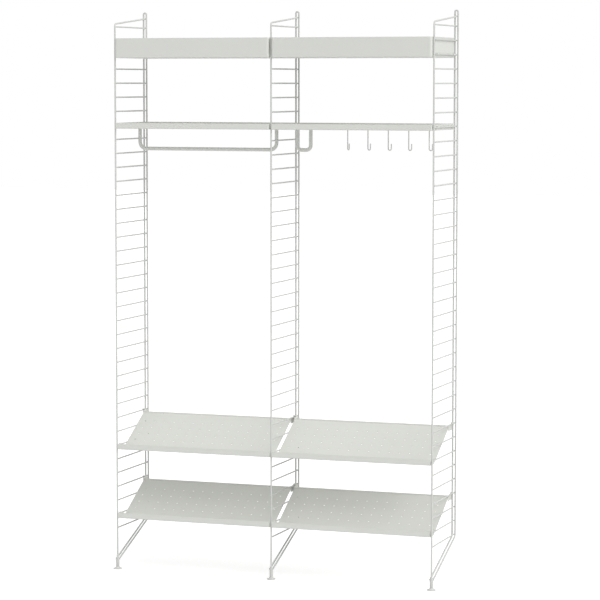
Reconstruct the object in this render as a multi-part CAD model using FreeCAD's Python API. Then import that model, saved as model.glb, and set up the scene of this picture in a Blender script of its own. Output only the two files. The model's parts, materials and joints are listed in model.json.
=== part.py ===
"""Hallway shelving unit: two bays of lift-off sheet-steel shelves between three wire ladders.

Origin: on the floor, at the centre of the unit's footprint. +X runs along the wall to the right,
+Y runs back to the wall and +Z points up. All lengths are in millimetres.
"""
import FreeCAD
import Part
import math
import os

V = FreeCAD.Vector
UP = V(0, 0, 1)
ALONG_X = V(1, 0, 0)
ALONG_Y = V(0, 1, 0)

# Ladders
bay_pitch = 591.0
ladder_depth = 275.0
rung_pitch = 50.0
rung_count = 37
lowest_rung_z = 150.0
upright_diameter = 6.0
rung_diameter = 5.0
top_bend_above_rung = 10.0
top_wire_rise = 24.0
hairpin_above_rung = 58.0
top_bend_radius = 10.0
rear_bend_radius = 16.0
weld_gap = 0.05
strut_below_bush_top = 5.0
strut_below_rung = 6.0

# Feet
bush_diameter = 12.0
bush_bottom_z = 9.0
bush_height = 32.0
bush_web = 6.0
pad_diameter = 32.0
pad_rim_height = 2.5
pad_neck_diameter = 13.0
pad_stop_gap = 0.2
pad_floor_thickness = 2.0
stud_diameter = 8.0
stud_clearance = 0.08
stud_end_gap = 1.5

# Shelves of every kind
sheet_thickness = 1.2
rear_wire_clearance = 1.5
perforation_diameter = 5.0
perforation_pitch = 37.5
perforation_margin = 25.0
tab_thickness = 1.2
tab_width = 10.0
tab_play = 0.2
tab_neighbour_gap = 0.6
tab_seat_gap = 0.1
tab_hook_drop = 3.0

# Trays
top_tray_height = 70.0
low_tray_height = 20.5
tray_levels = (34, 29)
tray_front_overhang = 14.0
top_tray_corner_radius = 8.0
low_tray_corner_radius = 3.0
tray_bend_radius = 2.6
tray_below_rung = 11.0
tray_tab_inset = 38.0
tray_tab_stagger = 14.0

# Tilted shoe shelves
shoe_rear_levels = (8, 3)
shoe_front_levels = (6, 1)
shoe_lip_overhang = 8.0
shoe_lip_height = 20.5
shoe_below_rung = 14.0
shoe_rear_below_rung = 9.6
shoe_trough_depth = 53.5
shoe_slope_inset = 45.0
shoe_rear_lip = 6.0
shoe_bend_radius = 2.6
shoe_slope_end_inset = 1.5
shoe_row_margin = 40.0
front_ear_start = 4.0
front_ear_length = 40.0
front_tab_start = 8.0
rear_ear_below_rung = 23.5
rear_ear_shoulder_drop = 4.5
rear_ear_inset = 9.0
rear_tab_inset = 11.0
shoe_tab_stagger = 14.0

# Rails and hooks under the low trays
rail_diameter = 13.0
rail_drop = 74.0
clothes_rail_bend = 24.0
short_rail_bend = 17.0
short_rail_span = 50.0
short_rail_inset = 66.0
rail_stub_diameter = 6.0
rail_hole_clearance = 0.4
rail_nut_flats = 10.0
rail_nut_height = 5.0
stub_end = 1.5
hook_wire = 4.0
hook_drop = 73.0
hook_throat = 12.0
hook_tip_rise = 15.0
hook_columns_from_end = (9, 7, 5, 3, 1)
hook_turns_deg = (-45.0, -25.0, -10.0, -15.0, -5.0)
hook_nut_flats = 7.0
hook_nut_height = 3.2
hook_nut_gap = 0.2
hook_end = 1.0
cut_overrun = 5.0

# Places worked out from the sizes
upright_radius = upright_diameter / 2
rung_radius = rung_diameter / 2
wire_spacing = upright_diameter + rung_diameter + 2 * weld_gap
front_reach = max(pad_diameter / 2, tray_front_overhang)
rear_reach = ladder_depth + upright_radius
post_y = (front_reach - rear_reach) / 2
rear_y = post_y + ladder_depth
top_rung_z = lowest_rung_z + (rung_count - 1) * rung_pitch
bush_top_z = bush_bottom_z + bush_height
shelf_end_gap = rung_radius + tab_play + tab_thickness + tab_neighbour_gap
shelf_width = bay_pitch - 2 * shelf_end_gap
tray_depth = tray_front_overhang + ladder_depth - upright_radius - rear_wire_clearance
tray_front_y = post_y - tray_front_overhang
tray_mid_y = tray_front_y + tray_depth / 2
column_reach = int((shelf_width / 2 - perforation_margin) / perforation_pitch)
tray_row_reach = int((tray_depth / 2 - perforation_margin) / perforation_pitch + 1 / 2)
ladders = {"left": -bay_pitch, "middle": 0.0, "right": bay_pitch}
bays = {"left": -bay_pitch / 2, "right": bay_pitch / 2}


def rung_z(level):
    """Height of a rung's centre, counted up from the lowest rung."""
    return lowest_rung_z + level * rung_pitch


def bent_path(points, radii):
    """Straight runs through the points, joined by tangent arcs at the inner ones."""
    edges = []
    start = points[0]
    for before, corner, after, radius in zip(points, points[1:], points[2:], radii):
        into = (corner - before).normalize()
        out = (after - corner).normalize()
        turn = into.getAngle(out)
        setback = radius * math.tan(turn / 2)
        arc_start = corner - into * setback
        arc_end = corner + out * setback
        centre = corner + (out - into).normalize() * (radius / math.cos(turn / 2))
        arc_middle = centre + (corner - centre).normalize() * radius
        if (arc_start - start).Length > rung_radius / rung_count:
            edges.append(Part.LineSegment(start, arc_start).toShape())
        edges.append(Part.Arc(arc_start, arc_middle, arc_end).toShape())
        start = arc_end
    edges.append(Part.LineSegment(start, points[-1]).toShape())
    return Part.Wire(edges)


def wire_along(path, diameter):
    """A round wire swept along a path."""
    first = path.Edges[0]
    start = first.valueAt(first.FirstParameter)
    heading = first.tangentAt(first.FirstParameter)
    section = Part.Wire([Part.makeCircle(diameter / 2, start, heading)])
    return path.makePipeShell([section], True, False)


def nut(flats, height, bore, centre):
    """A hexagon nut standing on its centre point, with the bore that its bolt fills."""
    corner_radius = flats / 2 / math.cos(math.radians(30))
    corners = [centre + V(corner_radius * math.cos(math.radians(60 * n)),
                          corner_radius * math.sin(math.radians(60 * n)), 0) for n in range(7)]
    body = Part.Face(Part.makePolygon(corners)).extrude(UP * height)
    return body.cut(Part.makeCylinder(bore / 2, height + 2 * cut_overrun, centre - UP * cut_overrun, UP))


def rear_wires(x):
    """One wire: from the foot's sleeve back and up behind the rungs, over a loop, and down to the sleeve again."""
    half = wire_spacing / 2
    loop_z = top_rung_z + hairpin_above_rung - upright_radius - half
    foot_z = bush_top_z - strut_below_bush_top
    strut_top_z = lowest_rung_z - strut_below_rung
    right_foot = V(x + half, post_y, foot_z)
    right_low = V(x + half, rear_y, strut_top_z)
    right_top = V(x + half, rear_y, loop_z)
    left_foot = V(x - half, post_y, foot_z)
    left_low = V(x - half, rear_y, strut_top_z)
    left_top = V(x - half, rear_y, loop_z)
    rise = bent_path([right_foot, right_low, right_top], [rear_bend_radius])
    fall = bent_path([left_top, left_low, left_foot], [rear_bend_radius])
    loop = Part.Arc(right_top, V(x, rear_y, loop_z + half), left_top).toShape()
    path = Part.Wire(rise.Edges + [loop] + fall.Edges)
    wires = wire_along(path, upright_diameter)
    post = Part.makeCylinder(upright_radius, rung_pitch * 2, V(x, post_y, bush_top_z), UP)
    sleeve = Part.makeCylinder(bush_diameter / 2, bush_height, V(x, post_y, bush_bottom_z), UP)
    ahead = Part.makeBox(pad_diameter, pad_diameter, rung_pitch * 2,
                         V(x - pad_diameter / 2, post_y - pad_diameter, bush_bottom_z))
    return wires.cut(post).cut(sleeve).cut(ahead)


def front_post(x, rear):
    """The front wire: up from the foot sleeve, then back over a bend to the rear wires."""
    bend_z = top_rung_z + top_bend_above_rung
    path = bent_path([V(x, post_y, bush_top_z), V(x, post_y, bend_z),
                      V(x, rear_y + rung_radius, bend_z + top_wire_rise)], [top_bend_radius])
    return wire_along(path, upright_diameter).cut(rear)


def rungs(x):
    """Straight rungs from the back of the front post to the back of the rear wires."""
    length = ladder_depth + upright_radius
    start = V(x, post_y, lowest_rung_z)
    post = Part.makeCylinder(upright_radius, 2 * rung_pitch, start - UP * rung_pitch, UP)
    rung = Part.makeCylinder(rung_radius, length, start, ALONG_Y).cut(post)
    rung = max(rung.Solids, key=lambda solid: solid.Volume)
    copies = []
    for level in range(rung_count):
        copy = rung.copy()
        copy.translate(UP * (level * rung_pitch))
        copies.append(copy)
    return Part.makeCompound(copies)


def foot_bush(x):
    """The sleeve at the foot of a post, threaded from below for the stud."""
    base = V(x, post_y, bush_bottom_z)
    sleeve = Part.makeCylinder(bush_diameter / 2, bush_height, base, UP)
    bore_radius = stud_diameter / 2 + stud_clearance
    bore = Part.makeCylinder(bore_radius, bush_height - bush_web + cut_overrun, base - UP * cut_overrun, UP)
    return sleeve.cut(bore)


def foot_stud(x):
    """The stud, held in the pad and running up the sleeve."""
    bottom = V(x, post_y, pad_floor_thickness)
    top_z = bush_top_z - bush_web - stud_end_gap
    return Part.makeCylinder(stud_diameter / 2, top_z - pad_floor_thickness, bottom, UP)


def foot_pad(x, stud):
    """The flared pad that stands on the floor."""
    neck_z = bush_bottom_z - pad_stop_gap
    rim = Part.makeCylinder(pad_diameter / 2, pad_rim_height, V(x, post_y, 0), UP)
    flare = Part.makeCone(pad_diameter / 2, pad_neck_diameter / 2, neck_z - pad_rim_height,
                          V(x, post_y, pad_rim_height), UP)
    return rim.fuse(flare).removeSplitter().cut(stud)


def rounded_box(width, depth, height, corner, radius, bottom_radius):
    """A box standing on its low corner point, with its four upright edges and its bottom edges rounded."""
    box = Part.makeBox(width, depth, height, corner)
    upright = [edge for edge in box.Edges if abs(edge.tangentAt(edge.FirstParameter).dot(UP)) > 1 / 2]
    box = box.makeFillet(radius, upright)
    middle_z = corner.z + height / 2
    bottom = [edge for edge in box.Edges if edge.BoundBox.ZMax < middle_z]
    return box.makeFillet(bottom_radius, bottom)


def hanging_tab(bay_x, side, front_y, level, inset):
    """A hanger welded to a shelf's end, hooked down over a rung. side is -1 at the left end, 1 at the right."""
    end = shelf_width / 2 - inset
    under = rung_radius + tab_seat_gap
    reach = inset + shelf_end_gap + rung_radius + tab_play
    outline = [V(end, 0, under), V(end + reach, 0, under), V(end + reach, 0, -tab_hook_drop),
               V(end + reach + tab_thickness, 0, -tab_hook_drop),
               V(end + reach + tab_thickness, 0, under + tab_thickness), V(end, 0, under + tab_thickness)]
    place = V(bay_x, front_y, rung_z(level))
    corners = [V(side * point.x, point.y, point.z) + place for point in outline]
    return Part.Face(Part.makePolygon(corners + corners[:1])).extrude(ALONG_Y * tab_width)


def column_x(column):
    """Place of a perforation along the shelf, from the shelf's centre."""
    return column * perforation_pitch


def tray_row_y(row):
    """Place of a row of perforations. Row 1 is the first behind the tray's centre, row 0 the first ahead."""
    return tray_mid_y + (row - 1 / 2) * perforation_pitch


def tray_tabs(bay_x, level):
    """The four hangers of a tray. Those at its left end stand clear of a neighbour's on the same rung."""
    front_tab_y = post_y + tray_tab_inset - tab_width / 2
    rear_tab_y = rear_y - tray_tab_inset - tab_width / 2
    return Part.makeCompound([hanging_tab(bay_x, 1, front_tab_y, level, 0),
                              hanging_tab(bay_x, 1, rear_tab_y, level, 0),
                              hanging_tab(bay_x, -1, front_tab_y + tray_tab_stagger, level, 0),
                              hanging_tab(bay_x, -1, rear_tab_y - tray_tab_stagger, level, 0)])


def tray(bay_x, height, level, corner_radius, fixing_holes):
    """A folded tray, open at the top, with a perforated floor."""
    floor_z = rung_z(level) - tray_below_rung
    corner = V(bay_x - shelf_width / 2, tray_front_y, floor_z)
    wall = V(sheet_thickness, sheet_thickness, sheet_thickness)
    outer = rounded_box(shelf_width, tray_depth, height, corner, corner_radius, tray_bend_radius)
    inner = rounded_box(shelf_width - 2 * sheet_thickness, tray_depth - 2 * sheet_thickness,
                        height + cut_overrun, corner + wall, corner_radius - sheet_thickness,
                        tray_bend_radius - sheet_thickness)
    body = outer.cut(inner)
    below = floor_z - cut_overrun
    depth = sheet_thickness + 2 * cut_overrun
    hole_radius = perforation_diameter / 2
    holes = [Part.makeCylinder(hole_radius, depth, V(bay_x + column_x(column), tray_row_y(row), below), UP)
             for column in range(-column_reach, column_reach + 1)
             for row in range(1 - tray_row_reach, tray_row_reach + 1)]
    holes += [Part.makeCylinder(diameter / 2, depth, V(x, y, below), UP) for x, y, diameter in fixing_holes]
    return body.cut(Part.makeCompound(holes))


def outline_face(path_points, bend_radius):
    """A sheet's cross-section: a path whose turns all go one way, thickened on its inner side."""
    headings = [(b - a).normalize() for a, b in zip(path_points, path_points[1:])]
    inward = [ALONG_X.cross(heading) * sheet_thickness for heading in headings]
    inner_points = [path_points[0] + inward[0]]
    for corner, before, after in zip(path_points[1:], inward, inward[1:]):
        bisector = before + after
        inner_points.append(corner + bisector * (2 * sheet_thickness ** 2 / bisector.dot(bisector)))
    inner_points.append(path_points[-1] + inward[-1])
    bends = len(path_points) - 2
    outer = bent_path(path_points, [bend_radius] * bends)
    inner = bent_path(inner_points, [bend_radius - sheet_thickness] * bends)
    caps = [Part.LineSegment(path_points[0], inner_points[0]).toShape(),
            Part.LineSegment(path_points[-1], inner_points[-1]).toShape()]
    return Part.Face(Part.Wire(Part.__sortEdges__(outer.Edges + inner.Edges + caps)))


def shoe_shelf_tabs(bay_x, front_level, rear_level):
    """The four hangers of a shoe shelf, on the ears at its ends."""
    front_tab_y = post_y + front_tab_start
    rear_tab_y = rear_y - rear_tab_inset - tab_width
    return Part.makeCompound([
        hanging_tab(bay_x, 1, front_tab_y, front_level, 0),
        hanging_tab(bay_x, 1, rear_tab_y, rear_level, shoe_slope_end_inset),
        hanging_tab(bay_x, -1, front_tab_y + shoe_tab_stagger, front_level, 0),
        hanging_tab(bay_x, -1, rear_tab_y - shoe_tab_stagger, rear_level, shoe_slope_end_inset)])


def shoe_shelf(bay_x, front_level, rear_level):
    """A perforated shelf that slopes down to a trough and an upstand lip at the front."""
    under_z = rung_z(front_level) - shoe_below_rung
    lip_y = post_y - shoe_lip_overhang
    slope_start_y = lip_y + shoe_trough_depth
    slope_end_y = rear_y - shoe_slope_inset
    rear_z = rung_z(rear_level) - shoe_rear_below_rung
    tilt = math.atan2(rear_z - under_z, slope_end_y - slope_start_y)
    slope_length = (slope_end_y - slope_start_y) / math.cos(tilt)
    left_x = bay_x - shelf_width / 2
    right_x = bay_x + shelf_width / 2
    path = [V(left_x, lip_y, under_z + shoe_lip_height), V(left_x, lip_y, under_z),
            V(left_x, slope_start_y, under_z), V(left_x, slope_end_y, rear_z),
            V(left_x, slope_end_y, rear_z + shoe_rear_lip)]
    body = outline_face(path, shoe_bend_radius).extrude(ALONG_X * shelf_width)
    slope_left_x = left_x + shoe_slope_end_inset
    slope_right_x = right_x - shoe_slope_end_inset
    rise = rung_z(rear_level) - rung_z(front_level) + rung_pitch
    for x in (left_x - cut_overrun, slope_right_x):
        body = body.cut(Part.makeBox(shoe_slope_end_inset + cut_overrun, ladder_depth, rise,
                                     V(x, slope_start_y, under_z - cut_overrun)))

    front_top_z = rung_z(front_level) + rung_radius + tab_seat_gap + tab_thickness
    front_ear_y = post_y + front_ear_start
    rear_top_z = rung_z(rear_level) + rung_radius + tab_seat_gap + tab_thickness
    rear_low_z = rung_z(rear_level) - rear_ear_below_rung
    rear_ear_y = slope_end_y - shoe_rear_lip
    rear_ear_end_y = rear_y - rear_ear_inset
    front_ear = [V(0, front_ear_y, under_z), V(0, front_ear_y + front_ear_length, under_z),
                 V(0, front_ear_y + front_ear_length, front_top_z), V(0, front_ear_y, front_top_z)]
    shoulder_z = rear_top_z - rear_ear_shoulder_drop
    right_tab_y = rear_y - rear_tab_inset
    rear_ears = []
    for tab_end_y in (right_tab_y - shoe_tab_stagger, right_tab_y):
        rear_ears.append([V(0, rear_ear_y, rear_low_z), V(0, rear_ear_end_y, rear_low_z),
                          V(0, rear_ear_end_y, shoulder_z), V(0, tab_end_y, shoulder_z),
                          V(0, tab_end_y, rear_top_z), V(0, tab_end_y - tab_width, rear_top_z),
                          V(0, tab_end_y - tab_width, shoulder_z), V(0, rear_ear_y, shoulder_z)])
    ears = []
    for plate, x in ((front_ear, left_x), (front_ear, right_x - sheet_thickness),
                     (rear_ears[0], slope_left_x), (rear_ears[1], slope_right_x - sheet_thickness)):
        corners = [point + ALONG_X * x for point in plate]
        ears.append(Part.Face(Part.makePolygon(corners + corners[:1])).extrude(ALONG_X * sheet_thickness))
    body = body.fuse(ears).removeSplitter()

    square_to_slope = V(0, -math.sin(tilt), math.cos(tilt))
    up_slope = V(0, math.cos(tilt), math.sin(tilt))
    rows = int((slope_length - 2 * shoe_row_margin) / perforation_pitch) + 1
    first_row = (slope_length - (rows - 1) * perforation_pitch) / 2
    depth = sheet_thickness + 2 * cut_overrun
    holes = []
    for column in range(-column_reach, column_reach + 1):
        for row in range(rows):
            foot = V(bay_x + column_x(column), slope_start_y, under_z)
            centre = foot + up_slope * (first_row + row * perforation_pitch) - square_to_slope * cut_overrun
            holes.append(Part.makeCylinder(perforation_diameter / 2, depth, centre, square_to_slope))
    return body.cut(Part.makeCompound(holes))


low_floor_z = rung_z(tray_levels[1]) - tray_below_rung
low_floor_top_z = low_floor_z + sheet_thickness
rail_y = tray_row_y(1)
hook_y = tray_row_y(2)
clothes_rail_half = column_x(column_reach)
short_rail_x = bays["right"] - shelf_width / 2 + short_rail_inset
rail_hole_diameter = rail_stub_diameter + rail_hole_clearance


def rail_leg_places(centre_x, half_span):
    """Where a rail's two legs meet the tray above them."""
    return [(centre_x - half_span, rail_y), (centre_x + half_span, rail_y)]


def rail(centre_x, half_span, bend_radius):
    """A round bar bent to a wide U, with a threaded stub on each leg that passes through the tray."""
    bar_z = low_floor_z - rail_drop
    left_x = centre_x - half_span
    right_x = centre_x + half_span
    path = bent_path([V(left_x, rail_y, low_floor_z), V(left_x, rail_y, bar_z),
                      V(right_x, rail_y, bar_z), V(right_x, rail_y, low_floor_z)], [bend_radius] * 2)
    bar = wire_along(path, rail_diameter)
    stub_length = sheet_thickness + rail_nut_height + stub_end
    stubs = [Part.makeCylinder(rail_stub_diameter / 2, stub_length, V(x, y, low_floor_z), UP)
             for x, y in rail_leg_places(centre_x, half_span)]
    return bar.fuse(stubs)


def rail_nuts(centre_x, half_span):
    """The two nuts that hold a rail up against the tray."""
    return Part.makeCompound([nut(rail_nut_flats, rail_nut_height, rail_stub_diameter, V(x, y, low_floor_top_z))
                              for x, y in rail_leg_places(centre_x, half_span)])


def hook(place, turn_deg):
    """A J of wire that hangs through a perforation and turns about its own shank."""
    bottom_z = low_floor_z - hook_drop
    half = hook_throat / 2
    top = V(0, 0, low_floor_top_z + hook_nut_gap + hook_nut_height + hook_end)
    shank_end = V(0, 0, bottom_z + half)
    tip_start = V(hook_throat, 0, bottom_z + half)
    tip = V(hook_throat, 0, bottom_z + half + hook_tip_rise)
    path = Part.Wire([Part.LineSegment(top, shank_end).toShape(),
                      Part.Arc(shank_end, V(half, 0, bottom_z), tip_start).toShape(),
                      Part.LineSegment(tip_start, tip).toShape()])
    body = wire_along(path, hook_wire)
    rounded_tip = Part.makeSphere(hook_wire / 2, tip)
    body = body.fuse(rounded_tip)
    body.rotate(V(0, 0, 0), UP, turn_deg)
    body.translate(place)
    return body


def hook_nut(place):
    """The nut on a hook's shank, resting on the tray's floor."""
    return nut(hook_nut_flats, hook_nut_height, hook_wire, place + UP * (low_floor_top_z + hook_nut_gap))


def ladder_nodes():
    """The welded ladders and their feet."""
    nodes = {}
    for side, x in ladders.items():
        rear = rear_wires(x)
        stud = foot_stud(x)
        nodes[side + "_rear_wires"] = rear
        nodes[side + "_front_post"] = front_post(x, rear)
        nodes[side + "_rungs"] = rungs(x)
        nodes[side + "_foot_bush"] = foot_bush(x)
        nodes[side + "_foot_stud"] = stud
        nodes[side + "_foot_pad"] = foot_pad(x, stud)
    return nodes


def shelf_nodes():
    """The four trays and the four tilted shelves, each with its hangers."""
    fixing_holes = {"left": [(x, y, rail_hole_diameter)
                             for x, y in rail_leg_places(bays["left"], clothes_rail_half)],
                    "right": [(x, y, rail_hole_diameter)
                              for x, y in rail_leg_places(short_rail_x, short_rail_span / 2)]}
    nodes = {}
    for side, x in bays.items():
        nodes[side + "_top_tray"] = tray(x, top_tray_height, tray_levels[0], top_tray_corner_radius, [])
        nodes[side + "_low_tray"] = tray(x, low_tray_height, tray_levels[1], low_tray_corner_radius,
                                         fixing_holes[side])
        for name, level in zip(("_top_tray", "_low_tray"), tray_levels):
            nodes[side + name + "_tabs"] = tray_tabs(x, level)
        for name, front, rear in zip(("_upper_shoe_shelf", "_lower_shoe_shelf"), shoe_front_levels,
                                     shoe_rear_levels):
            nodes[side + name] = shoe_shelf(x, front, rear)
            nodes[side + name + "_tabs"] = shoe_shelf_tabs(x, front, rear)
    return nodes


def hanging_nodes():
    """The rails and hooks under the low trays."""
    nodes = {"clothes_rail": rail(bays["left"], clothes_rail_half, clothes_rail_bend),
             "clothes_rail_nuts": rail_nuts(bays["left"], clothes_rail_half),
             "short_rail": rail(short_rail_x, short_rail_span / 2, short_rail_bend),
             "short_rail_nuts": rail_nuts(short_rail_x, short_rail_span / 2)}
    for number, (columns_in, turn) in enumerate(zip(hook_columns_from_end, hook_turns_deg), 1):
        place = V(bays["right"] + column_x(column_reach - columns_in), hook_y, 0)
        nodes["hook_" + str(number)] = hook(place, turn)
        nodes["hook_" + str(number) + "_nut"] = hook_nut(place)
    return nodes


def main():
    os.makedirs("parts", exist_ok=True)
    nodes = {**ladder_nodes(), **shelf_nodes(), **hanging_nodes()}
    for name, shape in nodes.items():
        shape.exportStep(os.path.join("parts", name + ".step"))
        box = shape.BoundBox
        print("%-26s solids %2d  valid %s  volume %9.1f  x %.1f %.1f  y %.1f %.1f  z %.1f %.1f" % (
            name, len(shape.Solids), shape.isValid(), shape.Volume,
            box.XMin, box.XMax, box.YMin, box.YMax, box.ZMin, box.ZMax))


main()
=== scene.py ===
"""Hallway shelving unit, dressed: wire ladders, folded trays, tilted shoe shelves, rails, hooks and feet.

All lengths are in metres, in the frame of the packed model: +X along the wall to the right,
+Y back to the wall, +Z up, with the origin on the floor at the centre of the footprint.
"""
import json
import math

import bmesh
import bpy
from bpy.props import FloatProperty, FloatVectorProperty, IntProperty, PointerProperty
from mathutils import Matrix, Vector


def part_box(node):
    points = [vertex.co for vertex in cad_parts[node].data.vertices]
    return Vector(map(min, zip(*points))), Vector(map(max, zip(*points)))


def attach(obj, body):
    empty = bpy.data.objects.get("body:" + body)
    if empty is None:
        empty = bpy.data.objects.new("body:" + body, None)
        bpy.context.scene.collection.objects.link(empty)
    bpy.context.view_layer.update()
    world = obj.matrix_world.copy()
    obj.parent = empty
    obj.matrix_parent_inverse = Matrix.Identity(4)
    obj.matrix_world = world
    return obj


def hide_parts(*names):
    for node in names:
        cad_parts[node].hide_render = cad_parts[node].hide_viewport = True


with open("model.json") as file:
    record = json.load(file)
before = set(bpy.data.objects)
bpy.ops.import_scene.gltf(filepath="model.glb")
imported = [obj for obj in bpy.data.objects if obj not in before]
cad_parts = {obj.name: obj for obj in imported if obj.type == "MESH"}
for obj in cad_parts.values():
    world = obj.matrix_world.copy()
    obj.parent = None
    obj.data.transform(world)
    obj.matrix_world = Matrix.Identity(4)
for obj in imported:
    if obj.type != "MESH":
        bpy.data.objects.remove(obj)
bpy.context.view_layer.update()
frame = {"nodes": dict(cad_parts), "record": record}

bl_info = {
    "name": "Hallway shelving unit",
    "version": (1, 0, 0),
    "blender": (4, 5, 0),
    "location": "View3D > Sidebar > Shelving",
    "description": "Welds, perforation rims, fasteners, feet, coatings and a stage for a hallway shelving unit",
    "category": "Object",
}

SIDES = ("left", "middle", "right")
BAYS = ("left", "right")
MM = 0.001
FULL_TURN = 2 * math.pi
FLAT_TO_CORNER = 1 / math.cos(math.radians(30))

# Outline of the weld over a foot sleeve: out from the post's axis, and up from the sleeve's top, in post radii.
COLLAR = ((0.9, -0.5), (1.7, -0.25), (1.62, 0.12), (1.3, 0.45), (1.12, 0.8), (1.02, 1.15), (0.9, 1.2))

# The camera that was fitted to the photograph. Lens and sensor are in millimetres, and turns in radians.
CAMERA = {"lens": 152.637, "sensor_width": 36.0, "clip_end": 200.0}
CAMERA_PLACE = (3.0537, -8.4854, 1.7505)
CAMERA_TURN = 0.33905
CAMERA_DIP = 0.08502
CAMERA_ROLL = 0.00065

# Where each soft lamp shines from, and how far the floor lies under the pads.
LAMP_WAYS = {"side": (0.80, -0.25, 0.545), "top": (0.20, -0.10, 0.97), "front": (0.10, -0.85, 0.50)}
FLOOR_DROP = 0.5 * MM


def middle_x(low, high):
    """The middle of a box, left to right."""
    return (low.x + high.x) / 2


def middle_y(low, high):
    """The middle of a box, front to back."""
    return (low.y + high.y) / 2


def length(name, description, default):
    """A length that a user may change, given in millimetres and kept in metres."""
    return FloatProperty(name=name, description=description, default=default * MM, min=0.0, precision=5,
                         subtype="DISTANCE", unit="LENGTH")


def light_strength(name, description, default):
    """How strong a light is."""
    return FloatProperty(name=name, description=description, default=default, min=0.0)


def lamp_spread(name, description, degrees):
    """How large a lamp looks from the unit."""
    return FloatProperty(name=name, description=description, default=math.radians(degrees), min=0.0,
                         subtype="ANGLE")


def colour(name, description, default):
    """A colour of a coating, in linear light."""
    return FloatVectorProperty(name=name, description=description, default=default, size=3, min=0.0, max=1.0,
                               subtype="COLOR")


# ---- What a user would change ----

class LadderSettings(bpy.types.PropertyGroup):
    """Sizes of the ladders' wires and welds."""
    rungs: IntProperty(name="Rungs", description="Rungs on each ladder", default=37, min=2)
    rung_pitch: length("Rung pitch", "Height from one rung to the next", 50.0)
    rung_radius: length("Rung radius", "Half the thickness of a rung", 2.5)
    upright_radius: length("Upright radius", "Half the thickness of a front or rear wire", 3.0)
    strut_drop: length("Strut drop", "From the foot sleeve's top down to a strut's middle", 5.0)
    front_bead_reach: length("Front bead reach", "How far a weld reaches along its rung at the post", 1.5)
    front_bead_proud: length("Front bead proud", "How far a weld stands proud of its rung", 0.4)
    rear_bead_size: length("Rear bead size", "Half the size of a weld between a rung and a rear wire", 2.1)


class ShelfSettings(bpy.types.PropertyGroup):
    """Sizes of the shelves' perforations and of the shoe shelves' slope."""
    columns: IntProperty(name="Columns", description="Perforations along a shelf", default=15, min=1)
    tray_rows: IntProperty(name="Tray rows", description="Rows of perforations in a tray", default=6, min=1)
    slope_rows: IntProperty(name="Slope rows", description="Rows of perforations in a shoe shelf", default=4,
                            min=1)
    pitch: length("Perforation pitch", "From one perforation to the next", 37.5)
    hole_radius: length("Hole radius", "Half a perforation", 2.5)
    rim: length("Rim", "Radius of the rounded edge of a perforation", 0.26)
    sheet: length("Sheet", "Thickness of the folded steel", 1.2)
    trough: length("Trough", "From the lip's face to the foot of the slope", 53.5)
    slope_run: length("Slope run", "Depth of the slope, front to back", 184.5)
    slope_rise: length("Slope rise", "Height of the slope, front to back", 104.4)


class FastenerSettings(bpy.types.PropertyGroup):
    """Sizes of the nuts and threads."""
    rail_nut_flats: length("Rail nut flats", "Across the flats of a rail's nut", 10.0)
    rail_stub_radius: length("Rail stub radius", "Half a rail's threaded stub", 3.0)
    rail_thread_pitch: length("Rail thread pitch", "Pitch of a rail stub's thread", 1.0)
    hook_nut_flats: length("Hook nut flats", "Across the flats of a hook's nut", 7.0)
    hook_shank_radius: length("Hook shank radius", "Half a hook's wire", 2.0)
    hook_thread_pitch: length("Hook thread pitch", "Pitch of a hook's thread", 0.7)
    thread_proud: length("Thread proud", "How far a thread's crest stands proud of its plain shank", 0.12)
    bore_play: length("Bore play", "Between a nut's bore and its bolt", 0.06)


class FootSettings(bpy.types.PropertyGroup):
    """Sizes of the feet."""
    stud_radius: length("Stud radius", "Half a foot's threaded stud", 4.0)
    stud_pitch: length("Stud pitch", "Pitch of the stud's thread", 1.25)
    stud_thread: length("Stud thread", "Depth of the stud's thread", 0.62)
    rim_height: length("Rim height", "Height of the pad's upright rim", 2.2)
    neck_radius: length("Neck radius", "Half the pad's neck", 6.5)
    edge_round: length("Edge round", "Radius of the pad's rim edges", 0.8)
    chamfer: length("Chamfer", "Chamfer at the ends of the sleeve", 0.7)
    bore_radius: length("Bore radius", "Half the sleeve's bore", 4.08)
    bore_depth: length("Bore depth", "Depth of the sleeve's bore", 26.0)


class FinishSettings(bpy.types.PropertyGroup):
    """Colours and grain of the coatings."""
    shelf_colour: colour("Shelf colour", "Powder coat of the shelves", (0.69, 0.70, 0.66))
    ladder_colour: colour("Ladder colour", "Powder coat of the ladders", (0.61, 0.62, 0.60))
    rail_colour: colour("Rail colour", "Powder coat of the rails", (0.70, 0.71, 0.68))
    hook_colour: colour("Hook colour", "Powder coat of the hooks", (0.70, 0.71, 0.69))
    foot_colour: colour("Foot colour", "Moulded plastic of the foot pads", (0.62, 0.62, 0.61))
    zinc_colour: colour("Zinc colour", "Plated steel of the nuts and studs", (0.66, 0.66, 0.65))
    peel: length("Orange peel", "Size of the coating's waves", 1.6)
    grain: length("Grain", "Size of the coating's fine grain", 0.35)


class StageSettings(bpy.types.PropertyGroup):
    """The floor and the light."""
    fill: light_strength("Fill", "Strength of the light from all round", 0.50)
    side: light_strength("Side", "Strength of the soft lamp at the right", 1.37)
    side_spread: lamp_spread("Side spread", "Apparent size of the lamp at the right", 50)
    top: light_strength("Top", "Strength of the soft lamp overhead", 0.56)
    top_spread: lamp_spread("Top spread", "Apparent size of the lamp overhead", 80)
    front: light_strength("Front", "Strength of the soft lamp at the front", 0.49)
    front_spread: lamp_spread("Front spread", "Apparent size of the lamp at the front", 60)
    floor_size: FloatProperty(name="Floor size", description="Side of the floor", default=60.0, min=1.0,
                              subtype="DISTANCE", unit="LENGTH")
    floor_colour: colour("Floor colour", "Pale floor", (0.78, 0.78, 0.78))
    floor_lift: light_strength("Floor lift", "White that the floor adds to what the camera sees", 0.5)


# ---- Meshes ----

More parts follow.
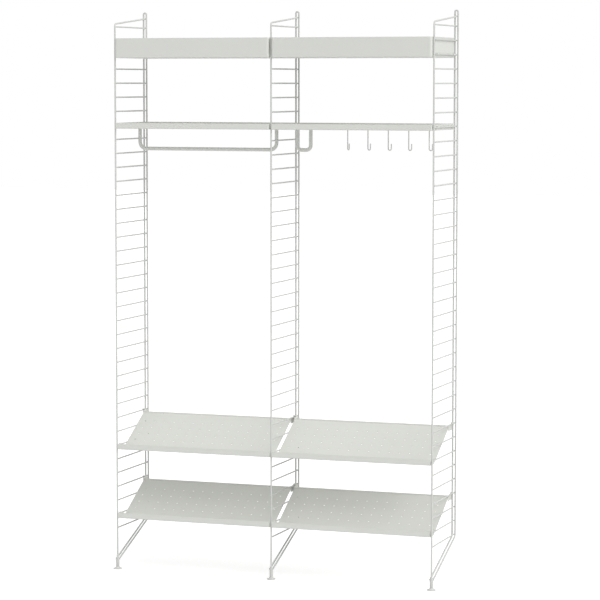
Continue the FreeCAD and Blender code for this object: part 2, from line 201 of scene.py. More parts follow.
def link(name, data):
    """A new object in the scene, from its mesh, lamp or lens."""
    piece = bpy.data.objects.new(name, data)
    bpy.context.scene.collection.objects.link(piece)
    return piece


def finish_piece(piece, body, material, replaced=()):
    """Gives a finished piece its finish and its body, and hides the packed nodes that it stands for."""
    piece.data.materials.clear()
    piece.data.materials.append(material)
    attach(piece, body)
    if replaced:
        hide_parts(*replaced)
    return piece


def points_mesh(name, points):
    """A mesh of loose points, for Geometry Nodes to grow on."""
    mesh = bpy.data.meshes.new(name)
    mesh.from_pydata([tuple(p) for p in points], [], [])
    return mesh


def lathed(name, profile, centre, segments):
    """A closed solid turned about an upright axis.

    The profile is a list of radius and height. It starts and ends on the axis, or at the same point off it.
    """
    mesh = bmesh.new()
    rings = []
    for radius, height in profile:
        if radius == 0:
            rings.append([mesh.verts.new(centre + Vector((0, 0, height)))])
            continue
        rings.append([mesh.verts.new(centre + Vector((radius * math.cos(FULL_TURN * k / segments),
                                                      radius * math.sin(FULL_TURN * k / segments), height)))
                      for k in range(segments)])
    for lower, upper in zip(rings, rings[1:]):
        for k in range(segments):
            following = (k + 1) % segments
            if len(lower) == 1:
                mesh.faces.new((lower[0], upper[following], upper[k]))
            elif len(upper) == 1:
                mesh.faces.new((lower[k], lower[following], upper[0]))
            else:
                mesh.faces.new((lower[k], lower[following], upper[following], upper[k]))
    bmesh.ops.recalc_face_normals(mesh, faces=mesh.faces)
    data = bpy.data.meshes.new(name)
    mesh.to_mesh(data)
    mesh.free()
    return data


def shade_by_angle(mesh, degrees):
    """Smooth faces with sharp edges past an angle."""
    mesh.shade_smooth()
    mesh.set_sharp_from_angle(angle=math.radians(degrees))


def nut_mesh(name, flats, bore, height, centre):
    """A hexagon nut with chamfered corners and a countersunk bore, standing on its centre point."""
    around = 48
    half = flats / 2
    face_radius = half * 0.97
    chamfer_slope = math.tan(math.radians(30))
    sink = 0.12 * half
    mesh = bmesh.new()
    rings = []
    for top in (False, True):
        outer, flat, lip, wall = [], [], [], []
        for k in range(around):
            turn = FULL_TURN * k / around
            across = (turn % (FULL_TURN / 6)) - FULL_TURN / 12
            corner = half / math.cos(across)
            drop = (corner - face_radius) * chamfer_slope
            way = Vector((math.cos(turn), math.sin(turn), 0))

            def place(radius, inset):
                z = height - inset if top else inset
                return mesh.verts.new(centre + way * radius + Vector((0, 0, z)))

            outer.append(place(corner, drop))
            flat.append(place(face_radius, 0))
            lip.append(place(bore + sink, 0))
            wall.append(place(bore, sink))
        rings.append((outer, flat, lip, wall))
    loops = list(rings[0][::-1]) + list(rings[1])
    for lower, upper in zip(loops, loops[1:] + loops[:1]):
        for k in range(around):
            following = (k + 1) % around
            mesh.faces.new((lower[k], lower[following], upper[following], upper[k]))
    bmesh.ops.recalc_face_normals(mesh, faces=mesh.faces)
    data = bpy.data.meshes.new(name)
    mesh.to_mesh(data)
    mesh.free()
    return data


def joined(name, meshes):
    """One mesh from several."""
    mesh = bmesh.new()
    for part in meshes:
        mesh.from_mesh(part)
        bpy.data.meshes.remove(part)
    data = bpy.data.meshes.new(name)
    mesh.to_mesh(data)
    mesh.free()
    return data


# ---- Geometry Nodes ----

def feed(tree, socket, value):
    """Joins a socket to another node's output, or sets its value."""
    if isinstance(value, bpy.types.NodeSocket):
        tree.links.new(value, socket)
    else:
        socket.default_value = value


def math_node(tree, operation, *values):
    """A math node's result."""
    made = tree.nodes.new("ShaderNodeMath")
    made.operation = operation
    for socket, value in zip(made.inputs, values):
        feed(tree, socket, value)
    return made.outputs[0]


class Tree:
    """A node tree being built, with named inputs and a geometry at each end."""

    def __init__(self, name, inputs):
        self.tree = bpy.data.node_groups.new(name, "GeometryNodeTree")
        sockets = self.tree.interface
        sockets.new_socket("Geometry", in_out="INPUT", socket_type="NodeSocketGeometry")
        for label, kind in inputs:
            sockets.new_socket(label, in_out="INPUT", socket_type="NodeSocket" + kind)
        sockets.new_socket("Material", in_out="INPUT", socket_type="NodeSocketMaterial")
        sockets.new_socket("Geometry", in_out="OUTPUT", socket_type="NodeSocketGeometry")
        self.inputs = self.tree.nodes.new("NodeGroupInput").outputs

    def node(self, kind, settings=None, **sockets):
        """Adds a node, sets its own settings, and joins or sets its inputs by name."""
        made = self.tree.nodes.new(kind)
        for key, value in (settings or {}).items():
            setattr(made, key, value)
        for label, value in sockets.items():
            feed(self.tree, made.inputs[label.replace("_", " ")], value)
        return made

    def math(self, operation, *values):
        """A math node's result."""
        return math_node(self.tree, operation, *values)

    def vector(self, x, y, z):
        """Three numbers as one vector."""
        return self.node("ShaderNodeCombineXYZ", X=x, Y=y, Z=z).outputs[0]

    def close(self, geometry):
        """Ends the tree: real geometry, smooth, with its material."""
        real = self.node("GeometryNodeRealizeInstances", Geometry=geometry).outputs[0]
        smooth = self.node("GeometryNodeSetShadeSmooth", Geometry=real).outputs[0]
        coated = self.node("GeometryNodeSetMaterial", Geometry=smooth, Material=self.inputs["Material"]).outputs[0]
        out = self.tree.nodes.new("NodeGroupOutput")
        self.tree.links.new(coated, out.inputs["Geometry"])
        return self.tree


def bead_tree():
    """Weld beads: a column of beads, one to each rung, above every point of the base mesh."""
    t = Tree("Rung welds", [("Rungs", "Int"), ("Rung pitch", "Float"), ("Bead", "Vector")])
    column = t.node("GeometryNodeMeshLine", Count=t.inputs["Rungs"],
                    Offset=t.vector(0.0, 0.0, t.inputs["Rung pitch"])).outputs[0]
    columns = t.node("GeometryNodeInstanceOnPoints", Points=t.inputs["Geometry"], Instance=column).outputs[0]
    places = t.node("GeometryNodeRealizeInstances", Geometry=columns).outputs[0]
    ball = t.node("GeometryNodeMeshUVSphere", Segments=10, Rings=6, Radius=1.0).outputs[0]
    beads = t.node("GeometryNodeInstanceOnPoints", Points=places, Instance=ball, Scale=t.inputs["Bead"]).outputs[0]
    return t.close(beads)


def rim_tree():
    """Rounded edges for a grid of perforations, on a plane that may tilt, left out at two places."""
    t = Tree("Perforation rims", [("Columns", "Int"), ("Rows", "Int"), ("Pitch across", "Float"),
                                  ("Pitch along", "Float"), ("Centre", "Vector"), ("Tilt", "Float"),
                                  ("Ring radius", "Float"), ("Rim", "Float"),
                                  ("Left out 1", "Vector"), ("Left out 2", "Vector"), ("Reach", "Float")])
    width = t.math("MULTIPLY", t.math("SUBTRACT", t.inputs["Columns"], 1.0), t.inputs["Pitch across"])
    depth = t.math("MULTIPLY", t.math("SUBTRACT", t.inputs["Rows"], 1.0), t.inputs["Pitch along"])
    grid = t.node("GeometryNodeMeshGrid", Size_X=width, Size_Y=depth, Vertices_X=t.inputs["Columns"],
                  Vertices_Y=t.inputs["Rows"]).outputs[0]
    turn = t.vector(t.inputs["Tilt"], 0.0, 0.0)
    placed = t.node("GeometryNodeTransform", Geometry=grid, Translation=t.inputs["Centre"],
                    Rotation=turn).outputs[0]
    position = t.node("GeometryNodeInputPosition").outputs[0]
    near = []
    for label in ("Left out 1", "Left out 2"):
        gap = t.node("ShaderNodeVectorMath", {"operation": "DISTANCE"})
        feed(t.tree, gap.inputs[0], position)
        feed(t.tree, gap.inputs[1], t.inputs[label])
        near.append(t.math("LESS_THAN", gap.outputs["Value"], t.inputs["Reach"]))
    kept = t.node("GeometryNodeDeleteGeometry", {"domain": "POINT"}, Geometry=placed,
                  Selection=t.math("MAXIMUM", near[0], near[1])).outputs[0]
    circle = t.node("GeometryNodeCurvePrimitiveCircle", Resolution=14, Radius=t.inputs["Ring radius"]).outputs[0]
    section = t.node("GeometryNodeCurvePrimitiveCircle", Resolution=4, Radius=t.inputs["Rim"]).outputs[0]
    ring = t.node("GeometryNodeCurveToMesh", Curve=circle, Profile_Curve=section).outputs[0]
    rings = t.node("GeometryNodeInstanceOnPoints", Points=kept, Instance=ring, Rotation=turn).outputs[0]
    return t.close(rings)


def thread_tree():
    """A screw thread: a cylinder whose side rises and falls along a helix, standing on each base point."""
    t = Tree("Screw thread", [("Radius", "Float"), ("Depth", "Float"), ("Pitch", "Float"), ("Length", "Float"),
                              ("Steps", "Int"), ("Around", "Int")])
    rod = t.node("GeometryNodeMeshCylinder", Vertices=t.inputs["Around"], Side_Segments=t.inputs["Steps"],
                 Radius=t.inputs["Radius"], Depth=t.inputs["Length"]).outputs[0]
    split = t.node("ShaderNodeSeparateXYZ", Vector=t.node("GeometryNodeInputPosition").outputs[0]).outputs
    angle = t.math("DIVIDE", t.math("ARCTAN2", split["Y"], split["X"]), FULL_TURN)
    climb = t.math("DIVIDE", split["Z"], t.inputs["Pitch"])
    phase = t.math("FRACT", t.math("SUBTRACT", climb, angle))
    fall = t.math("MULTIPLY", t.math("ABSOLUTE", t.math("SUBTRACT", phase, 0.5)), 2.0)
    shrink = t.math("DIVIDE", t.math("MULTIPLY", fall, t.inputs["Depth"]), t.inputs["Radius"])
    keep = t.math("SUBTRACT", 1.0, shrink)
    cut = t.node("GeometryNodeSetPosition", Geometry=rod,
                 Position=t.vector(t.math("MULTIPLY", split["X"], keep), t.math("MULTIPLY", split["Y"], keep),
                                   split["Z"])).outputs[0]
    stood = t.node("GeometryNodeTransform", Geometry=cut,
                   Translation=t.vector(0.0, 0.0, t.math("DIVIDE", t.inputs["Length"], 2.0))).outputs[0]
    threads = t.node("GeometryNodeInstanceOnPoints", Points=t.inputs["Geometry"], Instance=stood).outputs[0]
    return t.close(threads)


def grown(name, base, tree, values, material):
    """The plain mesh that a tree grows from a base mesh, as a new object with no modifier."""
    piece = link(name, base)
    modifier = piece.modifiers.new("Grow", "NODES")
    modifier.node_group = tree
    wanted = {**values, "Material": material}
    for item in tree.interface.items_tree:
        if item.item_type == "SOCKET" and item.in_out == "INPUT" and item.name in wanted:
            modifier[item.identifier] = wanted[item.name]
    depsgraph = bpy.context.evaluated_depsgraph_get()
    mesh = bpy.data.meshes.new_from_object(piece.evaluated_get(depsgraph), depsgraph=depsgraph)
    piece.modifiers.remove(modifier)
    piece.data = mesh
    if not mesh.polygons:
        raise RuntimeError(name + " came out empty")
    return piece


# ---- Finishes ----

def group_of(name, inputs, outputs):
    """An empty shader node group with its input and output nodes."""
    group = bpy.data.node_groups.new(name, "ShaderNodeTree")
    for label, kind in inputs:
        group.interface.new_socket(label, in_out="INPUT", socket_type="NodeSocket" + kind)
    for label, kind in outputs:
        group.interface.new_socket(label, in_out="OUTPUT", socket_type="NodeSocket" + kind)
    return group, group.nodes.new("NodeGroupInput").outputs, group.nodes.new("NodeGroupOutput").inputs


def noise(group, place, scale, detail):
    """A noise texture on object coordinates, from 0 to 1."""
    made = group.nodes.new("ShaderNodeTexNoise")
    made.inputs["Detail"].default_value = detail
    feed(group, made.inputs["Vector"], place)
    feed(group, made.inputs["Scale"], scale)
    return made.outputs["Fac"]


def swing(group, value, reach):
    """How far a value from 0 to 1 is from its middle, times a reach."""
    return math_node(group, "MULTIPLY", math_node(group, "SUBTRACT", value, 0.5), reach)


def mix_of(group, first, first_share, second):
    """Two values mixed, with the first one's share given."""
    return math_node(group, "ADD", math_node(group, "MULTIPLY", first, first_share),
                     math_node(group, "MULTIPLY", second, 1 - first_share))


def tinted(group, base, factor):
    """A colour made lighter or darker by a factor."""
    scaled = group.nodes.new("ShaderNodeVectorMath")
    scaled.operation = "SCALE"
    group.links.new(base, scaled.inputs[0])
    group.links.new(factor, scaled.inputs["Scale"])
    return scaled.outputs[0]


def coat_group():
    """Baked powder coat: slow shifts of tone, orange peel and fine grain."""
    group, given, out = group_of("Powder coat",
                                 [("Colour", "Color"), ("Tone shift", "Float"), ("Roughness", "Float"),
                                  ("Roughness shift", "Float"), ("Peel scale", "Float"), ("Grain scale", "Float")],
                                 [("Colour", "Color"), ("Roughness", "Float"), ("Height", "Float")])
    slow_share, peel_share = 0.4, 0.8
    place = group.nodes.new("ShaderNodeTexCoord").outputs["Object"]
    slow = noise(group, place, scale=3.5, detail=3.0)
    peel = noise(group, place, given["Peel scale"], detail=2.0)
    grain = noise(group, place, given["Grain scale"], detail=2.0)
    tone = math_node(group, "ADD", 1.0, swing(group, slow, given["Tone shift"]))
    group.links.new(tinted(group, given["Colour"], tone), out["Colour"])
    mixed = mix_of(group, slow, slow_share, grain)
    rough = math_node(group, "ADD", given["Roughness"], swing(group, mixed, given["Roughness shift"]))
    group.links.new(rough, out["Roughness"])
    group.links.new(mix_of(group, peel, peel_share, grain), out["Height"])
    return group


def plating_group():
    """Zinc plating: crystals of slightly different tone, with fine turning marks round the upright axis."""
    darkest, tone_range = 0.9, 0.16
    marks_squeeze, marks_roughness = 24.0, 0.18
    group, given, out = group_of("Zinc plating",
                                 [("Colour", "Color"), ("Crystal scale", "Float"), ("Roughness", "Float")],
                                 [("Colour", "Color"), ("Roughness", "Float"), ("Height", "Float")])
    place = group.nodes.new("ShaderNodeTexCoord").outputs["Object"]
    crystals = group.nodes.new("ShaderNodeTexVoronoi")
    group.links.new(place, crystals.inputs["Vector"])
    group.links.new(given["Crystal scale"], crystals.inputs["Scale"])
    tones = group.nodes.new("ShaderNodeSeparateColor")
    group.links.new(crystals.outputs["Color"], tones.inputs[0])
    tone = math_node(group, "ADD", darkest, math_node(group, "MULTIPLY", tones.outputs[0], tone_range))
    group.links.new(tinted(group, given["Colour"], tone), out["Colour"])
    squeezed = group.nodes.new("ShaderNodeMapping")
    squeezed.inputs["Scale"].default_value = (1.0, 1.0, marks_squeeze)
    group.links.new(place, squeezed.inputs["Vector"])
    marks = noise(group, squeezed.outputs[0], scale=400.0, detail=2.0)
    rough = math_node(group, "ADD", given["Roughness"], math_node(group, "MULTIPLY", marks, marks_roughness))
    group.links.new(rough, out["Roughness"])
    group.links.new(marks, out["Height"])
    return group


def finish_material(name, group, values, metallic, specular, depth, strength):
    """A material whose colour, roughness and bump come from a finish's node group."""
    material = bpy.data.materials.new(name)
    material.use_nodes = True
    nodes, links = material.node_tree.nodes, material.node_tree.links
    shader = nodes["Principled BSDF"]
    shader.inputs["Metallic"].default_value = metallic
    shader.inputs["Specular IOR Level"].default_value = specular
    finish = nodes.new("ShaderNodeGroup")
    finish.node_tree = group
    for label, value in values.items():
        finish.inputs[label].default_value = (*value, 1.0) if hasattr(value, "__len__") else value
    bump = nodes.new("ShaderNodeBump")
    bump.inputs["Strength"].default_value = strength
    bump.inputs["Distance"].default_value = depth
    links.new(finish.outputs["Height"], bump.inputs["Height"])
    links.new(bump.outputs["Normal"], shader.inputs["Normal"])
    links.new(finish.outputs["Colour"], shader.inputs["Base Color"])
    links.new(finish.outputs["Roughness"], shader.inputs["Roughness"])
    return material


def finish_of(slot):
    """The material made for a slot."""
    return bpy.data.materials["coat_" + slot]


def make_finishes(finish):
    """One material for each of the record's slots."""
    coat, plating = coat_group(), plating_group()
    peel, grain = 1 / finish.peel, 1 / finish.grain

    def powder(slot, tint, roughness, specular=0.5, wave=peel, depth=0.03 * MM):
        finish_material("coat_" + slot, coat,
                        {"Colour": tuple(tint), "Tone shift": 0.05, "Roughness": roughness,
                         "Roughness shift": 0.12, "Peel scale": wave, "Grain scale": grain},
                        metallic=0.0, specular=specular, depth=depth, strength=0.35)

    powder("shelf_coating", finish.shelf_colour, roughness=0.52)
    powder("ladder_coating", finish.ladder_colour, roughness=0.50, specular=0.3)
    powder("rail_coating", finish.rail_colour, roughness=0.42)
    powder("hook_coating", finish.hook_colour, roughness=0.40)
    powder("foot_plastic", finish.foot_colour, roughness=0.48, wave=grain, depth=0.05 * MM)
    finish_material("coat_zinc_steel", plating,
                    {"Colour": tuple(finish.zinc_colour), "Crystal scale": 1200.0, "Roughness": 0.28},
                    metallic=1.0, specular=0.5, depth=0.01 * MM, strength=0.3)


# ---- Operators ----

class SHELVING_OT_coat(bpy.types.Operator):
    """Makes the coatings and gives each packed node its own."""
    bl_idname = "shelving.coat"
    bl_label = "Coat the packed parts"

    def execute(self, context):
        make_finishes(context.scene.shelving_finish)
        for part in frame["record"]["subparts"]:
            node = frame["nodes"][part["node"]]
            node.material_slots[0].material = finish_of(part["material_slot"])
        return {"FINISHED"}


class SHELVING_OT_rung_welds(bpy.types.Operator):
    """Adds the weld beads where each rung meets its front post and its two rear wires."""
    bl_idname = "shelving.rung_welds"
    bl_label = "Weld the rungs"

    def execute(self, context):
        ladder = context.scene.shelving_ladder
        material = finish_of("ladder_coating")
        tree = bead_tree()
        for side in SIDES:
            low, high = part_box(side + "_rungs")
            x = middle_x(low, high)
            first = low.z + ladder.rung_radius
            post_y = middle_y(*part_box(side + "_foot_pad"))
            rear_y = high.y - ladder.upright_radius
            rung = {"Rungs": ladder.rungs, "Rung pitch": ladder.rung_pitch}
            width = ladder.rung_radius + ladder.front_bead_proud
            front = grown(side + "_front_welds",
                          points_mesh("front_joint", [(x, post_y + ladder.upright_radius, first)]), tree,
                          {**rung, "Bead": (width, ladder.front_bead_reach, width)}, material)
            finish_piece(front, "frame", material)
            size = ladder.rear_bead_size
            nip = ladder.rung_radius
            rear = grown(side + "_rear_welds",
                         points_mesh("rear_joints", [(x - nip, rear_y, first), (x + nip, rear_y, first)]), tree,
                         {**rung, "Bead": (size / 2, size, size)}, material)
            finish_piece(rear, "frame", material)
        return {"FINISHED"}


class SHELVING_OT_end_welds(bpy.types.Operator):
    """Adds the welds at the top wire's end and at the foot of each ladder."""
    bl_idname = "shelving.end_welds"
    bl_label = "Weld the ladder ends"

    def execute(self, context):
        ladder = context.scene.shelving_ladder
        material = finish_of("ladder_coating")
        tree = bead_tree()
        for side in SIDES:
            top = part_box(side + "_front_post")[1].z
            low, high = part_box(side + "_rungs")
            x = middle_x(low, high)
            r = ladder.upright_radius
            rear_y = high.y - r
            sleeve_low, sleeve_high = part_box(side + "_foot_bush")
            post_y = middle_y(sleeve_low, sleeve_high)
            size = ladder.rear_bead_size
            one = {"Rungs": 1, "Rung pitch": ladder.rung_pitch}
            top_z = top - r - size / 8
            spots = [(x - r, rear_y, top_z), (x + r, rear_y, top_z)]
            ends = grown(side + "_top_welds", points_mesh("top_joints", spots), tree,
                         {**one, "Bead": (size / 2, size, size)}, material)
            finish_piece(ends, "frame", material)
            ring = [(r * out, r * up) for out, up in COLLAR]
            collar = lathed(side + "_collar", ring + ring[:1], Vector((x, post_y, sleeve_high.z)), segments=28)
            shade_by_angle(collar, degrees=60)
            finish_piece(link(side + "_sleeve_weld", collar), "frame", material)
            # The struts run up to the back, so their welds sit a little behind and above their ends' middles.
            half_width = (sleeve_high.x - sleeve_low.x) / 2
            weld_y = post_y + r * 0.5
            weld_z = sleeve_high.z - ladder.strut_drop + r * 1.25
            spots = [(x - half_width, weld_y, weld_z), (x + half_width, weld_y, weld_z)]
            feet = grown(side + "_strut_welds", points_mesh("strut_joints", spots), tree,
                         {**one, "Bead": (size / 2, size, size / 2)}, material)
            finish_piece(feet, "frame", material)
        return {"FINISHED"}


class SHELVING_OT_rims(bpy.types.Operator):
    """Rounds the edges of the perforations, above and below each sheet."""
    bl_idname = "shelving.rims"
    bl_label = "Round the perforations"

    def execute(self, context):
        shelf = context.scene.shelving_shelf
        material = finish_of("shelf_coating")
        tree = rim_tree()
        nowhere = Vector((0, 0, -1))
        # The clothes rail's two legs fill two of its tray's perforations.
        filled_by = {"left_low_tray": "clothes_rail_nuts"}
        for bay in BAYS:
            for kind in ("top_tray", "low_tray", "upper_shoe_shelf", "lower_shoe_shelf"):
                body = bay + "_" + kind
                low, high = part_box(body)
                x = middle_x(low, high)
                tray = kind.endswith("tray")
                tilt = 0.0 if tray else math.atan2(shelf.slope_rise, shelf.slope_run)
                out = Vector((0, -math.sin(tilt), math.cos(tilt)))
                if tray:
                    middle = Vector((x, middle_y(low, high), low.z))
                else:
                    middle = Vector((x, low.y + shelf.trough + shelf.slope_run / 2,
                                     low.z + shelf.slope_rise / 2))
                left_out = [nowhere, nowhere]
                if body in filled_by:
                    nuts_low, nuts_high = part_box(filled_by[body])
                    inset = context.scene.shelving_fastener.rail_nut_flats / 2 * FLAT_TO_CORNER
                    y = middle_y(nuts_low, nuts_high)
                    left_out = [Vector((nuts_low.x + inset, y, low.z)), Vector((nuts_high.x - inset, y, low.z))]
                faces = []
                for lift in (0.0, shelf.sheet):
                    centre = middle + out * lift
                    faces.append(grown("rims", points_mesh("rims_base", [(0, 0, 0)]), tree, {
                        "Columns": shelf.columns, "Rows": shelf.tray_rows if tray else shelf.slope_rows,
                        "Pitch across": shelf.pitch, "Pitch along": shelf.pitch, "Centre": tuple(centre),
                        "Tilt": tilt, "Ring radius": shelf.hole_radius + shelf.rim / 2, "Rim": shelf.rim,
                        "Left out 1": tuple(left_out[0]), "Left out 2": tuple(left_out[1]),
                        "Reach": shelf.hole_radius * 2}, material))
                both = joined(body + "_rims", [face.data.copy() for face in faces])
                for face in faces:
                    bpy.data.objects.remove(face)
                finish_piece(link(body + "_rims", both), body, material)
        return {"FINISHED"}


class SHELVING_OT_feet(bpy.types.Operator):
    """Turns the moulded pads, cuts the studs' threads and makes the chamfered sleeves."""
    bl_idname = "shelving.feet"
    bl_label = "Make the feet"

    def execute(self, context):
        foot = context.scene.shelving_foot
        tree = thread_tree()
        for side in SIDES:
            low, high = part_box(side + "_foot_pad")
            centre = Vector((middle_x(low, high), middle_y(low, high), 0))
            stud_low, stud_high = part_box(side + "_foot_stud")
            self.turn_pad(foot, side, centre, (high.x - low.x) / 2, high.z, stud_low.z)
            self.thread_stud(foot, side, centre, tree, stud_low.z, stud_high.z)
            self.turn_sleeve(foot, side, centre)
        return {"FINISHED"}

    def turn_pad(self, foot, side, centre, wide, top, socket_z):
        """A pad with an upright rim, a hollow flare up to its neck, and a socket for its stud."""
        flare_steps, flare_in, flare_up = 9, 2.1, 1.15
        round_off = foot.edge_round
        profile = [(0.0, 0.0), (wide - round_off, 0.0), (wide - round_off / 3, round_off / 4),
                   (wide, round_off), (wide, foot.rim_height - round_off),
                   (wide - round_off / 3, foot.rim_height - round_off / 4)]
        flare_width = wide - round_off - foot.neck_radius
        flare_height = top - round_off / 2 - foot.rim_height
        for step in range(flare_steps + 1):
            part = step / flare_steps
            profile.append((foot.neck_radius + flare_width * (1 - part) ** flare_in,
                            foot.rim_height + flare_height * part ** flare_up))
        profile += [(foot.neck_radius - round_off / 2, top), (foot.stud_radius + round_off / 2, top),
                    (foot.stud_radius, top - round_off / 2), (foot.stud_radius, socket_z), (0.0, socket_z)]
        pad = lathed(side + "_pad", profile, centre, segments=64)
        shade_by_angle(pad, degrees=40)
        finish_piece(link(side + "_pad", pad), side + "_foot", finish_of("foot_plastic"),
                     [side + "_foot_pad"])

    def thread_stud(self, foot, side, centre, tree, bottom, top):
        """A stud with its thread cut all the way up."""
        steps_per_turn = 4
        material = finish_of("zinc_steel")
        run = top - bottom
        stud = grown(side + "_stud", points_mesh("stud_base", [(centre.x, centre.y, bottom)]), tree,
                     {"Radius": foot.stud_radius, "Depth": foot.stud_thread, "Pitch": foot.stud_pitch,
                      "Length": run, "Steps": round(run / foot.stud_pitch * steps_per_turn), "Around": 24},
                     material)
        finish_piece(stud, side + "_foot", material, [side + "_foot_stud"])

    def turn_sleeve(self, foot, side, centre):
        """A sleeve with a blind bore from below and both ends chamfered."""
        low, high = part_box(side + "_foot_bush")
        outer, tall = (high.x - low.x) / 2, high.z - low.z
        bore, deep, cut = foot.bore_radius, foot.bore_depth, foot.chamfer
        profile = [(0.0, deep), (bore * 0.7, deep), (bore, deep), (bore, cut), (bore + cut / 2, 0.0),
                   (outer - cut, 0.0), (outer - cut / 4, cut / 4), (outer, cut), (outer, tall - cut),
                   (outer - cut / 4, tall - cut / 4), (outer - cut, tall), (0.0, tall)]
        sleeve = lathed(side + "_sleeve", profile, Vector((centre.x, centre.y, low.z)), segments=40)
        shade_by_angle(sleeve, degrees=35)
        finish_piece(link(side + "_sleeve", sleeve), "frame", finish_of("ladder_coating"),
                     [side + "_foot_bush"])


class SHELVING_OT_nuts(bpy.types.Operator):
    """Makes the chamfered nuts of the rails and hooks, and the thread ends above them."""
    bl_idname = "shelving.nuts"
    bl_label = "Make the nuts and thread ends"

    def execute(self, context):
        fastener = context.scene.shelving_fastener
        material = finish_of("zinc_steel")
        tree = thread_tree()
        for rail, body in (("clothes_rail", "left_low_tray"), ("short_rail", "right_low_tray")):
            low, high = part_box(rail + "_nuts")
            inset = fastener.rail_nut_flats / 2 * FLAT_TO_CORNER
            y = middle_y(low, high)
            feet = [Vector((low.x + inset, y, low.z)), Vector((high.x - inset, y, low.z))]
            nuts = joined(rail + "_hex_nuts", [
                nut_mesh("nut", fastener.rail_nut_flats, fastener.rail_stub_radius + fastener.bore_play,
                         high.z - low.z, foot) for foot in feet])
            shade_by_angle(nuts, degrees=25)
            finish_piece(link(rail + "_hex_nuts", nuts), body, material, [rail + "_nuts"])
            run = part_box(rail)[1].z - high.z
            tops = [foot + Vector((0, 0, high.z - low.z)) for foot in feet]
            ends = grown(rail + "_thread_ends", points_mesh("ends", tops), tree,
                         {"Radius": fastener.rail_stub_radius + fastener.thread_proud,
                          "Depth": fastener.thread_proud * 2, "Pitch": fastener.rail_thread_pitch,
                          "Length": run, "Steps": 8, "Around": 24}, finish_of("rail_coating"))
            finish_piece(ends, body, finish_of("rail_coating"))
        for number in range(1, 6):
            hook = "hook_%d" % number
            low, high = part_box(hook + "_nut")
            foot = Vector((middle_x(low, high), middle_y(low, high), low.z))
            nut = nut_mesh(hook + "_hex_nut", fastener.hook_nut_flats,
                           fastener.hook_shank_radius + fastener.bore_play, high.z - low.z, foot)
            shade_by_angle(nut, degrees=25)
            finish_piece(link(hook + "_hex_nut", nut), hook, material, [hook + "_nut"])
            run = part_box(hook)[1].z - high.z
            top = foot + Vector((0, 0, high.z - low.z))
            end = grown(hook + "_thread_end", points_mesh("end", [top]), tree,
                        {"Radius": fastener.hook_shank_radius + fastener.thread_proud,
                         "Depth": fastener.thread_proud * 2, "Pitch": fastener.hook_thread_pitch,
                         "Length": run, "Steps": 8, "Around": 20}, finish_of("hook_coating"))
            finish_piece(end, hook, finish_of("hook_coating"))
        return {"FINISHED"}


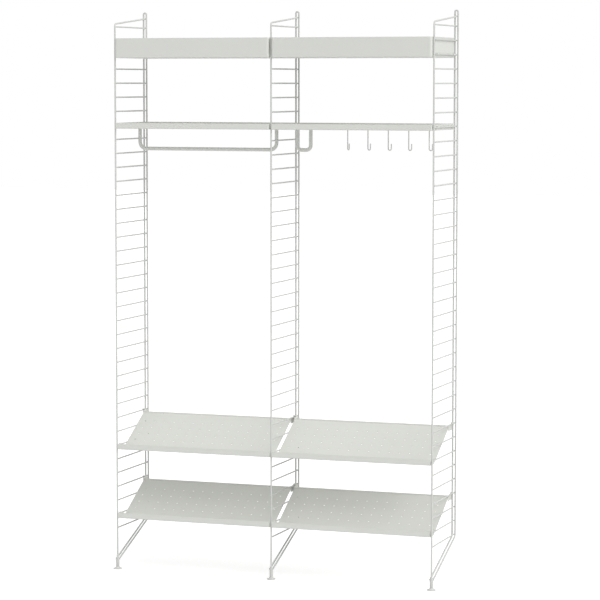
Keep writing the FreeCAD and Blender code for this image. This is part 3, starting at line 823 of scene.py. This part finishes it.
class SHELVING_OT_stage(bpy.types.Operator):
    """Sets the floor, the soft light, the world and the camera."""
    bl_idname = "shelving.stage"
    bl_label = "Set the stage"

    def execute(self, context):
        scene = context.scene
        stage = scene.shelving_stage
        scene.view_settings.view_transform = "Standard"
        half = stage.floor_size / 2
        mesh = bpy.data.meshes.new("floor")
        mesh.from_pydata([(-half, -half, 0), (half, -half, 0), (half, half, 0), (-half, half, 0)], [],
                         [(0, 1, 2, 3)])
        floor = link("floor", mesh)
        floor.location.z = -FLOOR_DROP
        mesh.materials.append(self.floor_material(stage))
        self.light_world(stage)
        for name, way in LAMP_WAYS.items():
            self.lamp(name, getattr(stage, name), getattr(stage, name + "_spread"), Vector(way))
        lens = bpy.data.cameras.new("camera")
        for key, value in CAMERA.items():
            setattr(lens, key, value)
        camera = link("camera", lens)
        turn = (Matrix.Rotation(CAMERA_TURN, 4, "Z") @ Matrix.Rotation(math.pi / 2 - CAMERA_DIP, 4, "X")
                @ Matrix.Rotation(CAMERA_ROLL, 4, "Z"))
        camera.matrix_world = Matrix.Translation(CAMERA_PLACE) @ turn
        scene.camera = camera
        return {"FINISHED"}

    def lamp(self, name, strength, spread, way):
        """A soft distant lamp that shines from a direction."""
        light = bpy.data.lights.new(name, "SUN")
        light.energy = strength
        light.angle = spread
        link(name, light).rotation_euler = way.to_track_quat("Z", "Y").to_euler()

    def seen_directly(self, tree):
        """1 where the camera, a reflection or glass sees the surface, and 0 where it only gives light."""
        path = tree.nodes.new("ShaderNodeLightPath").outputs
        seen = path["Is Camera Ray"]
        for label in ("Is Glossy Ray", "Is Transmission Ray"):
            seen = math_node(tree, "MAXIMUM", seen, path[label])
        return seen

    def floor_material(self, stage):
        """A pale floor that shows as white, keeps soft shadows and lets the camera see up through it."""
        material = bpy.data.materials.new("floor")
        material.use_nodes = True
        nodes, links = material.node_tree.nodes, material.node_tree.links
        nodes.clear()
        pale = nodes.new("ShaderNodeBsdfDiffuse")
        pale.inputs["Color"].default_value = (*stage.floor_colour, 1.0)
        lift = nodes.new("ShaderNodeEmission")
        level = math_node(material.node_tree, "MULTIPLY", self.seen_directly(material.node_tree), stage.floor_lift)
        links.new(level, lift.inputs["Strength"])
        both = nodes.new("ShaderNodeAddShader")
        links.new(pale.outputs[0], both.inputs[0])
        links.new(lift.outputs[0], both.inputs[1])
        side = nodes.new("ShaderNodeNewGeometry")
        clear = nodes.new("ShaderNodeBsdfTransparent")
        pick = nodes.new("ShaderNodeMixShader")
        links.new(side.outputs["Backfacing"], pick.inputs[0])
        links.new(both.outputs[0], pick.inputs[1])
        links.new(clear.outputs[0], pick.inputs[2])
        out = nodes.new("ShaderNodeOutputMaterial")
        links.new(pick.outputs[0], out.inputs["Surface"])
        return material

    def light_world(self, stage):
        """A world that shows as white and lights the unit evenly."""
        world = bpy.data.worlds.new("studio")
        world.use_nodes = True
        nodes, links = world.node_tree.nodes, world.node_tree.links
        background = nodes["Background"]
        background.inputs["Color"].default_value = (1.0, 1.0, 1.0, 1.0)
        level = nodes.new("ShaderNodeMapRange")
        level.inputs["To Min"].default_value = stage.fill
        level.inputs["To Max"].default_value = 1.0
        links.new(self.seen_directly(world.node_tree), level.inputs["Value"])
        links.new(level.outputs[0], background.inputs["Strength"])
        bpy.context.scene.world = world


# ---- The add-on ----

OPERATORS = (SHELVING_OT_coat, SHELVING_OT_rung_welds, SHELVING_OT_end_welds, SHELVING_OT_rims, SHELVING_OT_feet,
             SHELVING_OT_nuts, SHELVING_OT_stage)
SETTINGS = {"shelving_ladder": LadderSettings, "shelving_shelf": ShelfSettings,
            "shelving_fastener": FastenerSettings, "shelving_foot": FootSettings,
            "shelving_finish": FinishSettings, "shelving_stage": StageSettings}


class SHELVING_PT_panel(bpy.types.Panel):
    """Lists the steps that dress the unit, and their sizes."""
    bl_idname = "SHELVING_PT_panel"
    bl_label = "Hallway shelving unit"
    bl_space_type = "VIEW_3D"
    bl_region_type = "UI"
    bl_category = "Shelving"

    def draw(self, context):
        for operator in OPERATORS:
            self.layout.operator(operator.bl_idname)
        for name, kind in SETTINGS.items():
            box = self.layout.box()
            box.label(text=kind.__doc__)
            for prop in kind.__annotations__:
                box.prop(getattr(context.scene, name), prop)


def register():
    for kind in (*SETTINGS.values(), *OPERATORS, SHELVING_PT_panel):
        bpy.utils.register_class(kind)
    for name, kind in SETTINGS.items():
        setattr(bpy.types.Scene, name, PointerProperty(type=kind))


def unregister():
    for name in SETTINGS:
        delattr(bpy.types.Scene, name)
    for kind in (SHELVING_PT_panel, *reversed(OPERATORS), *reversed(list(SETTINGS.values()))):
        bpy.utils.unregister_class(kind)


def main():
    """Dresses the unit and sets the stage."""
    register()
    for operator in OPERATORS:
        family, name = operator.bl_idname.split(".")
        getattr(getattr(bpy.ops, family), name)()


if __name__ == "__main__":
    main()
